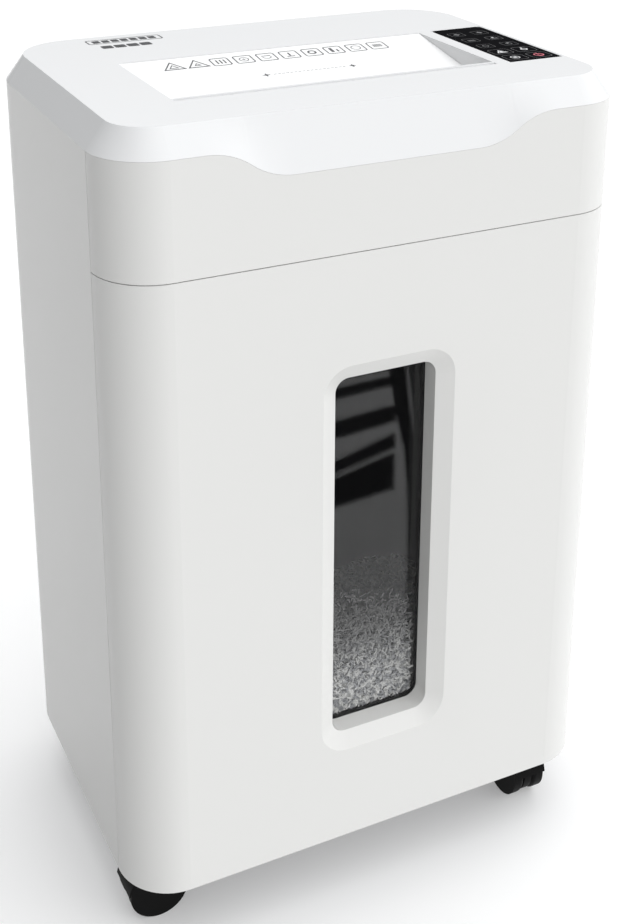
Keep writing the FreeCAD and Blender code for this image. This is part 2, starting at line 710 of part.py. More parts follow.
second_axis_y = rear_axis_y + (d.final_teeth + d.pinion_teeth) * d.final_module / 2 \
    + d.mesh_backlash
first_axis_y = second_axis_y + (d.second_wheel_teeth + d.pinion_teeth) * d.second_module / 2 \
    + d.mesh_backlash
motor_axis_y = first_axis_y + (d.first_wheel_teeth + d.pinion_teeth) * d.first_module / 2 \
    + d.mesh_backlash
LAYERS = (120.5, 130.5, 140.5)


def make_gears():
    """Two equal gears keep the cutters in step; three stages bring the motor's speed down."""
    sync_module = (d.shaft_spacing - d.mesh_backlash) / d.sync_teeth
    for node, y, faces_back in (("front_sync_gear", front_axis_y, False),
                                ("rear_sync_gear", rear_axis_y, True)):
        keep(node, feature(node, gear(d.sync_teeth, sync_module, -130, y,
                                      d.journal_radius, faces_back)))
    keep("final_gear", feature("final_gear", gear(d.final_teeth, d.final_module, LAYERS[2],
                                                  rear_axis_y, 7, False)))
    bore = d.pin_radius + d.running_gap
    width = float(d.gear_width)
    second = gear(d.second_wheel_teeth, d.second_module, LAYERS[1], second_axis_y, bore, False)
    pinion = gear(d.pinion_teeth, d.final_module, LAYERS[2], second_axis_y, bore, True)
    hub = ring_on_x(6, bore, 118.4, LAYERS[1], second_axis_y)
    neck = ring_on_x(6, bore, LAYERS[1] + width, LAYERS[2], second_axis_y)
    keep("second_gear", feature("second_gear", second.multiFuse([pinion, hub, neck])))
    first = gear(d.first_wheel_teeth, d.first_module, LAYERS[0], first_axis_y, bore, False)
    pinion = gear(d.pinion_teeth, d.second_module, LAYERS[1], first_axis_y, bore, True)
    hub = ring_on_x(6, bore, LAYERS[1] + width, 151.6, first_axis_y)
    neck = ring_on_x(6, bore, LAYERS[0] + width, LAYERS[1], first_axis_y)
    keep("first_gear", feature("first_gear", first.multiFuse([pinion, hub, neck])))
    keep("motor_pinion", feature("motor_pinion", gear(
        d.pinion_teeth, d.first_module, LAYERS[0], motor_axis_y, d.motor_shaft_radius, True)))

    pins = [rod(f"gear_pin_{number}", d.pin_radius, (d.frame_half, y, d.axis_height),
                155 - d.frame_half, "x")
            for number, y in enumerate((first_axis_y, second_axis_y), start=1)]
    keep("gear_pins", group("gear_pins", *pins))
    blank = box("gear_plate_blank", (152, front_axis_y - 3, 478), (155, motor_axis_y + 20, 528))
    holes = [rod(f"gear_plate_pin_{number}", d.pin_radius, (152, y, d.axis_height), 3, "x")
             for number, y in enumerate((first_axis_y, second_axis_y), start=1)]
    holes.append(rod("gear_plate_bearing", 5 + d.running_gap,
                     (152, rear_axis_y, d.axis_height), 3, "x"))
    keep("gear_plate", cut("gear_plate", blank, *holes))
    posts = [rod(f"gear_post_{number}", 3, (frame_outer, y, z), 152 - frame_outer, "x")
             for number, (y, z) in enumerate(((front_axis_y + 4, 486), (motor_axis_y + 14, 488)), 1)]
    keep("gear_plate_posts", group("gear_plate_posts", *posts))


def make_motor():
    """The motor lies behind the cutters, against the right side plate."""
    y, shell = motor_axis_y, 3
    left, right = 34, 110
    keep("motor_housing", feature("motor_housing", ring_on_x(
        d.motor_radius, d.motor_radius - shell, left, right, y)))
    bore = d.motor_shaft_radius + d.running_gap
    caps = [ring_on_x(d.motor_radius, bore, start, end, y)
            for start, end in ((left - 3, left), (right, float(d.frame_half)))]
    keep("motor_end_caps", feature("motor_end_caps", Part.makeCompound(caps)))
    keep("motor_windings", feature("motor_windings", ring_on_x(
        d.motor_radius - shell, 21, left + 10, right - 10, y)))
    keep("motor_rotor", stepped_rod("motor_rotor", y, [
        (20, left + 12, right - 12), (d.motor_shaft_radius, 10, LAYERS[0] + d.gear_width)]))
    fan_start, fan_radius, blade_count, blade_thick = 12, 23, 9, 1.2
    hub = ring_on_x(6, d.motor_shaft_radius, fan_start, fan_start + 12, y)
    web = ring_on_x(fan_radius, d.motor_shaft_radius, fan_start, fan_start + 2, y)
    blades = []
    for number in range(blade_count):
        blade = Part.makeBox(fan_radius - 5.5, blade_thick, 9, Vector(5.5, -blade_thick / 2, 1))
        blade.Placement = along_x(fan_start, y, number * 360 / blade_count)
        blades.append(blade)
    fan = hub.multiFuse([web, *blades])
    keep("motor_fan", feature("motor_fan", fan))


# ---------------------------------------------------------------- electrics

INLET = ((-99, 104, 489), (-71, 126, 511))
SWITCH = ((-62, 108, 493.5), (-40, 126, 508.5))


def make_electrics():
    """Power inlet, rocker switch, power board and the drawer's interlock switch."""
    (x0, y0, z0), (x1, y1, z1) = INLET
    shell = box("inlet_block", *INLET)
    cavity = box("inlet_cavity", (x0 + 3, y0 + 8, z0 + 3), (x1 - 3, y1 + 2, z1 - 3))
    middle_x, middle_z = (x0 + x1) / 2, (z0 + z1) / 2
    pins = [box(f"inlet_pin_{number}", (middle_x + dx - 1, y0 + 6, middle_z + dz - 2),
                (middle_x + dx + 1, y1 - 7, middle_z + dz + 2))
            for number, (dx, dz) in enumerate(((-7, -1.5), (0, 2.5), (7, -1.5)), start=1)]
    keep("power_inlet", fuse("power_inlet", cut("inlet_shell", shell, cavity), *pins))

    (x0, y0, z0), (x1, y1, z1) = SWITCH
    middle_z, pivot_y = (z0 + z1) / 2, 118.5
    shell = box("switch_block", *SWITCH)
    cavity = box("switch_cavity", (x0 + 2, y0 + 4, middle_z - 6), (x1 - 2, y1 + 2, middle_z + 6))
    bore = rod("switch_bore", 1.55, (x0 + 0.7, pivot_y, middle_z), x1 - x0 - 1.4, "x")
    keep("switch_housing", cut("switch_housing", shell, cavity, bore))
    cap = box("rocker_cap", (x0 + 2.3, pivot_y - 2, middle_z - 4.6),
              (x1 - 2.3, pivot_y + 6.5, middle_z + 4.6))
    pivot = rod("rocker_pivot", 1.5, (x0 + 1, pivot_y, middle_z), x1 - x0 - 2, "x")
    rocker = fuse("switch_rocker", cap, pivot)
    rocker.Placement = Placement(Vector(), Rotation(Vector(1, 0, 0), -7),
                                 Vector(0, pivot_y, middle_z))
    keep("switch_rocker", rocker)

    keep("power_board", box("power_board", (-108, 0, 480), (5, 98, 481.6)))
    parts = [box("choke", (-100, 60, 481.6), (-70, 90, 505)),
             box("relay", (-60, 66, 481.6), (-42, 90, 497)),
             rod("board_capacitor", 11, (-84, 30, 481.6), 34),
             box("heat_sink", (-50, 12, 481.6), (-20, 18, 510))]
    parts += [rod(f"standoff_{number}", 3, (x, y, deck_top), 480 - deck_top)
              for number, (x, y) in enumerate(((-102, 6), (-1, 6), (-102, 92), (-1, 92)), 1)]
    keep("board_components", group("board_components", *parts))

    switch = box("interlock_block", (124, -88, 450), (136, -68, d.seam_height))
    well = rod("interlock_well", 2 + d.running_gap, (130, -88, 457), 12, "y")
    keep("interlock_switch", cut("interlock_switch", switch, well))
    keep("interlock_plunger", rod("interlock_plunger", 2, (130, -94.7, 457), 16.7, "y"))
    keep("interlock_tab", box("interlock_tab", (126, front_face + d.wall, 445),
                              (134, -95, 464)))


def make_deck():
    """The deck carries the whole mechanism and lets the cuttings fall into the bin."""
    slab = prism("deck_slab", d.seam_height, deck_top, d.wall)
    outlet = box("chip_outlet", (-111, front_axis_y - 23, 460), (111, rear_axis_y + 24, 480))
    screws, holes = [], []
    for number, (side, y) in enumerate(((-1, -60), (1, -60), (-1, 60), (1, 60)), start=1):
        x = side * (inner_half - 7)
        holes.append(rod(f"deck_hole_{number}", 2.2, (x, y, 460), 20))
        head = rod(f"screw_head_{number}", 3.8, (x, y, deck_top), 2.5)
        shank = rod(f"screw_shank_{number}", 2, (x, y, deck_top - 20), 20)
        screws.append(fuse(f"deck_screw_{number}", head, shank))
    keep("mechanism_deck", cut("mechanism_deck", slab, outlet, *holes))
    keep("deck_screws", group("deck_screws", *screws))


# ---------------------------------------------------------------- casters

CASTER_CORNERS = (("front_left", -1, -1), ("front_right", 1, -1),
                  ("rear_left", -1, 1), ("rear_right", 1, 1))
HEADINGS = {"front_left": 180, "front_right": 270, "rear_left": 20, "rear_right": 320}


def make_caster(corner, side, end):
    """One twin-wheel swivel caster, drawn trailing towards +X and then turned and placed."""
    hub = (d.trail, 0, d.wheel_radius)
    outer = d.web_half + 0.3 + d.wheel_width
    web = rod(f"web_{corner}", d.wheel_radius - 1, (hub[0], -d.web_half, hub[2]),
              2 * d.web_half, "y")
    inside = d.wheel_radius + d.hood_gap
    arch = rod(f"arch_{corner}", inside + d.hood_skin, (hub[0], -outer - 0.5, hub[2]),
               2 * outer + 1, "y")
    well_left = rod(f"well_left_{corner}", inside,
                    (hub[0], -outer - 1, hub[2]), outer + 1 - d.web_half, "y")
    well_right = rod(f"well_right_{corner}", inside,
                     (hub[0], d.web_half, hub[2]), outer + 1 - d.web_half, "y")
    lower = box(f"arch_lower_{corner}", (-40, -30, -10), (60, 30, d.wheel_radius + 3))
    arch = cut(f"hood_arch_{corner}", arch, well_left, well_right, lower)
    neck = box(f"neck_{corner}", (-8, -d.web_half, d.wheel_radius),
               (hub[0], d.web_half, d.collar_bottom + 0.5))
    collar = rod(f"collar_{corner}", d.socket_radius - 1, (0, 0, d.collar_bottom),
                 d.cabinet_bottom - 0.4 - d.collar_bottom)
    stem = rod(f"stem_{corner}", d.stem_radius, (0, 0, d.collar_bottom),
               d.stem_top - d.collar_bottom)
    bore = rod(f"axle_bore_{corner}", d.axle_radius + d.running_gap,
               (hub[0], -d.web_half, hub[2]), 2 * d.web_half, "y")
    hood = cut(f"caster_hood_{corner}", fuse(f"hood_body_{corner}", web, arch, neck, collar, stem),
               bore)

    wheels = []
    outer_rim = 3
    for name, start, along in (("left", -outer, "y"), ("right", outer, "-y")):
        tyre = rod(f"wheel_{name}_{corner}", d.wheel_radius, (hub[0], start, hub[2]),
                   d.wheel_width, along)
        rounded = doc.addObject("Part::Fillet", f"wheel_rounded_{name}_{corner}")
        rounded.Base = tyre
        rounded.Edges = [(outer_rim, 3.5, 3.5)]
        seat = rod(f"seat_{name}_{corner}", d.axle_radius, (hub[0], start, hub[2]),
                   d.wheel_width, along)
        wheels.append(cut(f"tyre_{name}_{corner}", rounded, seat))
    axle = rod(f"axle_{corner}", d.axle_radius, (hub[0], -outer + 1, hub[2]),
               2 * outer - 2, "y")
    pair = group(f"caster_wheels_{corner}", *wheels, axle)
    for node, item in ((f"caster_hood_{corner}", hood), (f"caster_wheels_{corner}", pair)):
        item.Placement = Placement(Vector(), Rotation(Vector(0, 0, 1), HEADINGS[corner]))
        bind_place(item, (side * d.stem_x, end * d.stem_y, 0))
        keep(node, item)


# ---------------------------------------------------------------- build and export

def check_and_export():
    """Stop on any failed object or shape, then write one file for each sub-part."""
    failed = [item.Name for item in doc.Objects if {"Invalid", "Error"} & set(item.State)]
    if failed:
        raise RuntimeError(f"these objects failed: {failed}")
    for node, item in nodes.items():
        if item.Shape.isNull() or not item.Shape.isValid() or item.Shape.Volume < 1:
            raise RuntimeError(f"{node} has no valid shape")
    os.makedirs("parts", exist_ok=True)
    for node, item in nodes.items():
        item.Shape.exportStep(f"parts/{node}.step")
        print(f"{node}: {len(item.Shape.Solids)} solids, {item.Shape.Volume / 1000:.1f} cm3")


make_cabinet()
make_drawer()
make_head()
make_deck()
make_cutters()
make_gears()
make_motor()
make_electrics()
for caster in CASTER_CORNERS:
    make_caster(*caster)
doc.recompute()
check_and_export()
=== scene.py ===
import json
import math
import random

import bmesh
import bpy
from mathutils import Euler, Matrix, Vector


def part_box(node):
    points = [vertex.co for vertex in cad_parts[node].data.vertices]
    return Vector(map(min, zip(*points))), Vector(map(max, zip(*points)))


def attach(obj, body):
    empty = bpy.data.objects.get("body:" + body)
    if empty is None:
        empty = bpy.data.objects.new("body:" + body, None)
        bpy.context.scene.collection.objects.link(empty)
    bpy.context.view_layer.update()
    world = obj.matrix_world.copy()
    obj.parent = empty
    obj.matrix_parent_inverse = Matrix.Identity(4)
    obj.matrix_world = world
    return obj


# Looks of a white office paper shredder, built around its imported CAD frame.

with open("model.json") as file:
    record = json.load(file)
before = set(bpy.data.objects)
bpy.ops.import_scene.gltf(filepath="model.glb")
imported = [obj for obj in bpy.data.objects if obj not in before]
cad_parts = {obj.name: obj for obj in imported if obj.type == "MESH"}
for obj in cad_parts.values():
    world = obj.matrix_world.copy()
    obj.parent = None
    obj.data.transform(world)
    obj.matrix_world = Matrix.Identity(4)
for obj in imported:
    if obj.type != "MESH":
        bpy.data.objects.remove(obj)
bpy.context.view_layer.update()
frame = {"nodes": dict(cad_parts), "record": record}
nodes = frame["nodes"]
scene = bpy.context.scene

MM = 0.001

# ---------------------------------------------------------------- camera, floor and light

CAMERA_PLACE = (-0.3917, -0.8348, 0.7733)
CAMERA_TURN = (71.86, -0.27, -25.88)          # degrees, XYZ
CAMERA_LENS = 56.66
CAMERA_SENSOR = 36                            # mm wide
CAMERA_SHIFT = (-0.012, -0.303)
SIDE_AXIS = (0.48, -0.88, 0)                  # the surround is bright towards the front right
SIDE_FADE = (-0.26, 0.64, 0.24, 1.04)         # along that axis: from, to, dim, bright
REAR_AXIS = (0.50, 0.87, 0)                   # and softly bright towards the rear right
REAR_FADE = (0.60, 1.00, 0, 0.40)
OVERHEAD_AXIS = (0.41, 0, 1)                  # and brightest overhead, leaning to the right
OVERHEAD_FADE = (0.52, 0.77)                  # where the overhead light starts and is full
OVERHEAD = 1.66
KEY_WATTS = 3
FLOOR_HALF = 9                                # half the floor's side
FLOOR_GREY = 0.74
FLOOR_GLOW = 0.24                             # lifts the contact shadow to a pale one
CLIP_END = 50


def make_camera():
    data = bpy.data.cameras.new("camera")
    data.lens = CAMERA_LENS
    data.sensor_width = CAMERA_SENSOR
    data.shift_x, data.shift_y = CAMERA_SHIFT
    data.clip_end = CLIP_END
    camera = bpy.data.objects.new("camera", data)
    camera.location = CAMERA_PLACE
    camera.rotation_euler = Euler([math.radians(turn) for turn in CAMERA_TURN], "XYZ")
    scene.collection.objects.link(camera)
    scene.camera = camera


def area_light(name, place, target, size, watts):
    data = bpy.data.lights.new(name, "AREA")
    data.shape = "RECTANGLE"
    data.size, data.size_y = size
    data.energy = watts
    light = bpy.data.objects.new(name, data)
    light.location = place
    light.rotation_euler = (Vector(target) - Vector(place)).to_track_quat("-Z", "Y").to_euler()
    scene.collection.objects.link(light)


def along(tree, direction, axis):
    """How far a direction points along an axis."""
    node = tree.nodes.new("ShaderNodeVectorMath")
    node.operation = "DOT_PRODUCT"
    node.inputs[1].default_value = axis
    tree.links.new(direction, node.inputs[0])
    return node.outputs["Value"]


def fade(tree, value, start, end, low, high):
    """Go smoothly from low to high as the value goes from start to end."""
    node = tree.nodes.new("ShaderNodeMapRange")
    node.interpolation_type = "SMOOTHSTEP"
    for socket, number in zip(("From Min", "From Max", "To Min", "To Max"),
                              (start, end, low, high)):
        node.inputs[socket].default_value = number
    tree.links.new(value, node.inputs["Value"])
    return node.outputs["Result"]


def make_studio():
    """A pale floor and a white surround that is dimmer on the object's left and behind it."""
    mesh = bpy.data.meshes.new("floor")
    corners = [(x * FLOOR_HALF, y * FLOOR_HALF, 0)
               for x, y in ((-1, -1), (1, -1), (1, 1), (-1, 1))]
    mesh.from_pydata(corners, [], [(0, 1, 2, 3)])
    floor = bpy.data.objects.new("floor", mesh)
    scene.collection.objects.link(floor)
    pale = plain_material("floor_pale", (FLOOR_GREY,) * 3, 0.9)
    shader = pale.node_tree.nodes["Principled BSDF"]
    shader.inputs["Specular IOR Level"].default_value = 0.1
    shader.inputs["Emission Color"].default_value = (1, 1, 1, 1)
    shader.inputs["Emission Strength"].default_value = FLOOR_GLOW
    mesh.materials.append(pale)
    floor.visible_diffuse = floor.visible_shadow = False      # the surround lights from below

    world = bpy.data.worlds.new("surround")
    scene.world = world
    world.use_nodes = True
    tree = world.node_tree
    background = tree.nodes["Background"]
    background.inputs["Color"].default_value = (0.985, 0.992, 1.0, 1)
    background.inputs["Strength"].default_value = 1.0
    direction = tree.nodes.new("ShaderNodeTexCoord").outputs["Generated"]
    front = fade(tree, along(tree, direction, SIDE_AXIS), *SIDE_FADE)
    rear = fade(tree, along(tree, direction, REAR_AXIS), *REAR_FADE)
    both = tree.nodes.new("ShaderNodeMath")
    both.operation = "ADD"
    tree.links.new(front, both.inputs[0])
    tree.links.new(rear, both.inputs[1])
    height = fade(tree, along(tree, direction, OVERHEAD_AXIS), *OVERHEAD_FADE, 0, 1)
    sky = tree.nodes.new("ShaderNodeMix")
    sky.inputs["B"].default_value = OVERHEAD
    tree.links.new(height, sky.inputs["Factor"])
    tree.links.new(both.outputs["Value"], sky.inputs["A"])
    seen = tree.nodes.new("ShaderNodeMix")
    seen.inputs["B"].default_value = 1.0
    tree.links.new(tree.nodes.new("ShaderNodeLightPath").outputs["Is Camera Ray"],
                   seen.inputs["Factor"])
    tree.links.new(sky.outputs["Result"], seen.inputs["A"])
    tree.links.new(seen.outputs["Result"], background.inputs["Strength"])
    area_light("key", (1.3, -2.4, 1.5), (0, 0, 0.3), (1.8, 1.8), KEY_WATTS)
    scene.view_settings.view_transform = "Standard"


PANE_RIM = 6 * MM                             # the part of the pane behind its frame
CARD_LIFT = 1 * MM


def make_reflection_cards():
    """Dark cards on the floor in front, seen only as reflections in the window's pane."""
    low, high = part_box("window_pane")
    eye = Vector(CAMERA_PLACE)

    def mirrored(share, height):
        """Where the floor shows in the pane, a share of its width across and at a height."""
        left, right = low[0] + PANE_RIM, high[0] - PANE_RIM
        spot = Vector((left + share * (right - left), low[1], height))
        ray = (spot - eye) * Vector((1, -1, 1))
        return (spot + ray * (height / -ray.z)).xy

    bands = [((0.381, 0.380), (0.376, 0.376)), ((0.371, 0.372), (0.363, 0.365)),
             ((0.348, 0.351), (0.335, 0.339)), ((0.318, 0.331), (0.309, 0.320)),
             ((0.306, 0.317), (0.286, 0.290))]
    shapes = [[(-0.06, top[0]), (0.72, top[1]), (0.72, low_edge[1]), (-0.06, low_edge[0])]
              for top, low_edge in bands]
    shapes.append([(0.60, 0.400), (0.64, 0.375), (0.72, 0.345), (0.82, 0.318), (0.86, 0.290),
                   (0.88, 0.260), (0.90, 0.160), (0.94, 0.120), (1.10, 0.120), (1.10, 0.300),
                   (0.97, 0.300), (0.90, 0.330), (0.82, 0.372), (0.80, 0.400)])
    shapes.append([(0.83, 0.400), (0.85, 0.372), (0.93, 0.330), (0.99, 0.300), (1.20, 0.300),
                   (1.20, 0.400)])
    mesh = bpy.data.meshes.new("reflection_cards")
    points, faces = [], []
    for shape in shapes:
        first = len(points)
        points += [(*mirrored(*corner), CARD_LIFT) for corner in shape]
        faces.append(tuple(range(first, len(points))))
    mesh.from_pydata(points, [], faces)
    cards = bpy.data.objects.new("reflection_cards", mesh)
    scene.collection.objects.link(cards)
    mesh.materials.append(plain_material("card_black", (0.004, 0.004, 0.004), 1.0))
    cards.visible_camera = cards.visible_diffuse = cards.visible_shadow = False
    cards.visible_transmission = False


# ---------------------------------------------------------------- materials

def new_material(name):
    """A material with a principled shader; returns the material, its nodes and the shader."""
    material = bpy.data.materials.new(name)
    material.use_nodes = True
    tree = material.node_tree
    return material, tree, tree.nodes["Principled BSDF"]


def plain_material(name, colour, roughness):
    material, _, shader = new_material(name)
    shader.inputs["Base Color"].default_value = (*colour, 1)
    shader.inputs["Roughness"].default_value = roughness
    return material


def noise(tree, scale, detail=2.0):
    coordinates = tree.nodes.new("ShaderNodeTexCoord")
    texture = tree.nodes.new("ShaderNodeTexNoise")
    texture.inputs["Scale"].default_value = scale
    texture.inputs["Detail"].default_value = detail
    tree.links.new(coordinates.outputs["Object"], texture.inputs["Vector"])
    return texture.outputs["Fac"]


def spread(tree, value, low, high):
    """Map 0 to 1 onto a range."""
    node = tree.nodes.new("ShaderNodeMapRange")
    node.inputs["To Min"].default_value = low
    node.inputs["To Max"].default_value = high
    tree.links.new(value, node.inputs["Value"])
    return node.outputs["Result"]


def tint(tree, value, dark, light):
    node = tree.nodes.new("ShaderNodeMix")
    node.data_type = "RGBA"
    node.inputs["A"].default_value = (*dark, 1)
    node.inputs["B"].default_value = (*light, 1)
    tree.links.new(value, node.inputs["Factor"])
    return node.outputs["Result"]


def bump(tree, shader, height, strength, distance):
    node = tree.nodes.new("ShaderNodeBump")
    node.inputs["Strength"].default_value = strength
    node.inputs["Distance"].default_value = distance
    tree.links.new(height, node.inputs["Height"])
    tree.links.new(node.outputs["Normal"], shader.inputs["Normal"])


def moulded(name, dark, light, roughness, grain_scale, grain_depth, metallic=0.0,
            specular=0.5, drift_scale=4):
    """Moulded or finished surface: slight colour drift, uneven gloss and a fine grain."""
    material, tree, shader = new_material(name)
    drift = noise(tree, drift_scale, 1)
    tree.links.new(tint(tree, drift, dark, light), shader.inputs["Base Color"])
    tree.links.new(spread(tree, noise(tree, drift_scale * 3, 1), *roughness),
                   shader.inputs["Roughness"])
    bump(tree, shader, noise(tree, grain_scale, 1), 0.25, grain_depth)
    shader.inputs["Specular IOR Level"].default_value = specular
    shader.inputs["Metallic"].default_value = metallic
    return material


def make_materials():
    return {
        "white_gloss": moulded("white_gloss", (0.792, 0.796, 0.800), (0.802, 0.806, 0.810),
                               (0.12, 0.15), 2500, 0.000004, specular=0.22),
        "white_satin": moulded("white_satin", (0.755, 0.752, 0.735), (0.765, 0.762, 0.745),
                               (0.22, 0.26), 2500, 0.000005),
        "feed_white": moulded("feed_white", (0.88, 0.88, 0.88), (0.9, 0.9, 0.9),
                              (0.35, 0.4), 2500, 0.000008),
        "panel_black": moulded("panel_black", (0.004, 0.004, 0.005), (0.006, 0.006, 0.007),
                               (0.28, 0.34), 2500, 0.000003, specular=0.0004),
        "bin_grey": moulded("bin_grey", (0.012, 0.012, 0.013), (0.02, 0.02, 0.022),
                            (0.3, 0.45), 900, 0.00004),
        "frame_grey": moulded("frame_grey", (0.09, 0.09, 0.095), (0.12, 0.12, 0.125),
                              (0.45, 0.6), 1100, 0.00005),
        "caster_black": moulded("caster_black", (0.004, 0.004, 0.004), (0.007, 0.007, 0.007),
                                (0.35, 0.5), 1200, 0.00003, specular=0.06),
        "black_plastic": moulded("black_plastic", (0.012, 0.012, 0.013), (0.02, 0.02, 0.022),
                                 (0.4, 0.55), 1300, 0.00004),
        "plate_steel": moulded("plate_steel", (0.5, 0.51, 0.52), (0.62, 0.63, 0.64),
                               (0.28, 0.42), 500, 0.00002, metallic=1.0),
        "cutter_steel": moulded("cutter_steel", (0.28, 0.28, 0.29), (0.42, 0.42, 0.43),
                                (0.25, 0.45), 400, 0.00003, metallic=1.0),
        "zinc": moulded("zinc", (0.62, 0.62, 0.64), (0.72, 0.72, 0.74),
                        (0.18, 0.3), 600, 0.00001, metallic=1.0),
        "bronze": moulded("bronze", (0.5, 0.32, 0.14), (0.6, 0.42, 0.2),
                          (0.35, 0.5), 700, 0.00002, metallic=1.0),
        "gear_nylon": moulded("gear_nylon", (0.68, 0.65, 0.56), (0.76, 0.73, 0.64),
                              (0.4, 0.5), 900, 0.00003),
        "copper": moulded("copper", (0.5, 0.2, 0.08), (0.62, 0.27, 0.12),
                          (0.25, 0.4), 500, 0.0001, metallic=1.0),
        "pcb_green": moulded("pcb_green", (0.01, 0.09, 0.03), (0.02, 0.14, 0.05),
                             (0.3, 0.4), 500, 0.00003),
        "smoked": smoked_material(),
    }


def smoked_material():
    """Dark see-through plastic with a polished face."""
    material, tree, shader = new_material("smoked")
    tree.links.new(tint(tree, noise(tree, 5, 1), (0.006, 0.006, 0.007), (0.010, 0.010, 0.011)),
                   shader.inputs["Base Color"])
    tree.links.new(spread(tree, noise(tree, 12, 2), 0.015, 0.035), shader.inputs["Roughness"])
    shader.inputs["Alpha"].default_value = 0.18
    shader.inputs["IOR"].default_value = 2.0
    shader.inputs["Specular IOR Level"].default_value = 0.8
    return material


def paper_material(name, dark, light, painted_shade=None):
    """Cut paper: matt, patchy from white to print grey, and with painted shade above a height if
    given: there the colour fades to a flat grey.
    """
    material, tree, shader = new_material(name)
    patches = fade(tree, noise(tree, 260, 0), 0.36, 0.62, 0, 1)
    colour = tint(tree, patches, dark, light)
    if painted_shade:
        # painted shade: above the start height the colour is mixed towards a flat grey, which is
        # full at the end height
        start, end, grey = painted_shade
        place = tree.nodes.new("ShaderNodeTexCoord").outputs["Object"]
        painted_shade_mix = tree.nodes.new("ShaderNodeMix")
        painted_shade_mix.data_type = "RGBA"
        painted_shade_mix.inputs["B"].default_value = (grey, grey, grey, 1)
        tree.links.new(fade(tree, along(tree, place, (0, 0, 1)), start, end, 0, 1),
                       painted_shade_mix.inputs["Factor"])
        tree.links.new(colour, painted_shade_mix.inputs["A"])
        colour = painted_shade_mix.outputs["Result"]
    tree.links.new(colour, shader.inputs["Base Color"])
    tree.links.new(spread(tree, noise(tree, 40, 2), 0.7, 0.9), shader.inputs["Roughness"])
    bump(tree, shader, noise(tree, 1500, 2), 0.2, 0.00003)
    return material


def ink_material(name, dark, light):
    """Printed ink: thin, slightly uneven and matt."""
    material, tree, shader = new_material(name)
    tree.links.new(tint(tree, noise(tree, 900, 2), dark, light), shader.inputs["Base Color"])
    tree.links.new(spread(tree, noise(tree, 300, 1), 0.4, 0.6), shader.inputs["Roughness"])
    return material


# ---------------------------------------------------------------- CAD nodes

EDGE_ROUNDING = {
    "top_cover": 0.9, "drawer_front": 0.6, "head_front_panel": 0.4, "head_rear_shell": 0.4,
    "cabinet_shell": 0.5, "feed_plate": 0.4, "control_overlay": 0.25, "window_pane": 0.2,
    "power_inlet": 0.4, "switch_housing": 0.4, "switch_rocker": 0.5, "waste_bin": 0.4,
}


def finish_node(name):
    """Give a CAD node its finish, merge its flat facets, and round its edges slightly."""
    item = nodes[name]
    item.data.materials.clear()
    item.data.materials.append(materials[slot_of[name]])
    for polygon in item.data.polygons:
        polygon.use_smooth = True
    width = EDGE_ROUNDING.get(name)
    if width:
        flat = item.modifiers.new("merge_flat", "DECIMATE")
        flat.decimate_type = "DISSOLVE"
        flat.angle_limit = math.radians(0.3)
        edge = item.modifiers.new("edge_rounding", "BEVEL")
        edge.width = width * MM
        edge.segments = 3
        edge.limit_method = "ANGLE"
        edge.angle_limit = math.radians(28)
        edge.harden_normals = True
        edge.use_clamp_overlap = True
    else:
        split = item.modifiers.new("crisp_edges", "EDGE_SPLIT")
        split.split_angle = math.radians(28)


# ---------------------------------------------------------------- paper cuttings

SEED = 7
PILE_FLOOR = 80 * MM
PILE_GAP = 4 * MM                             # between the heap and the bin's walls
PILE_FRONT_GAP = 10 * MM
PILE_UNDER = 5 * MM                           # how far the heap's body lies below the cuttings
BIN_CORNER = 30 * MM
SCRAPS_ON_TOP = 7000
SCRAPS_AT_WINDOW = 8500


def pile_height(x, y):
    """Height of the heap: a ridge under the cutters, falling away to the sides and the rear."""
    hump = 64 * math.exp(-((x + 0.01) / 0.15) ** 2 - ((y + 0.085) / 0.062) ** 2)
    ripple = 4 * math.sin(x * 61 + 1.3) * math.cos(y * 47) + 2 * math.sin(x * 23 - y * 90)
    return (90 + hump + ripple) * MM


def make_heap(bin_low, bin_high):
    """The heap's body: a lumpy block that fills the foot of the bin, painted dark grey as the
    shade in the gaps between the cuttings.
    """
    low = [bin_low[0] + PILE_GAP, bin_low[1] + PILE_FRONT_GAP]
    high = [value - PILE_GAP for value in bin_high[:2]]
    bm = bmesh.new()
    columns, rows = 48, 34
    grid = []
    for row in range(rows + 1):
        line = []
        for column in range(columns + 1):
            x = low[0] + (high[0] - low[0]) * column / columns
            y = low[1] + (high[1] - low[1]) * row / rows
            x, y = inside_corners(x, y, low, high)
            line.append(bm.verts.new((x, y, pile_height(x, y) - PILE_UNDER)))
        grid.append(line)
    for row in range(rows):
        for column in range(columns):
            bm.faces.new((grid[row][column], grid[row][column + 1],
                          grid[row + 1][column + 1], grid[row + 1][column]))
    edge = [e for e in bm.edges if e.is_boundary]
    walls = bmesh.ops.extrude_edge_only(bm, edges=edge)
    for vertex in (g for g in walls["geom"] if isinstance(g, bmesh.types.BMVert)):
        vertex.co.z = PILE_FLOOR
    bmesh.ops.contextual_create(bm, geom=[e for e in bm.edges if e.is_boundary])
    bmesh.ops.recalc_face_normals(bm, faces=bm.faces)
    new_piece("paper_heap", bm, paper_core_painted_shade, "drawer")


def inside_corners(x, y, low, high):
    """Draw a point in to the rounded rear corners of the bin."""
    centre = (min(max(x, low[0] + BIN_CORNER), high[0] - BIN_CORNER),
              min(y, high[1] - BIN_CORNER))
    away = Vector((x - centre[0], y - centre[1]))
    if y > high[1] - BIN_CORNER and abs(x - centre[0]) > 0 and away.length > BIN_CORNER:
        away.length = BIN_CORNER
    return centre[0] + away.x, centre[1] + away.y


def new_piece(name, bm, material, body):
    mesh = bpy.data.meshes.new(name)
    bm.to_mesh(mesh)
    bm.free()
    item = bpy.data.objects.new(name, mesh)
    scene.collection.objects.link(item)
    mesh.materials.append(material)
    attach(item, body)


PAPER = 0.12 * MM


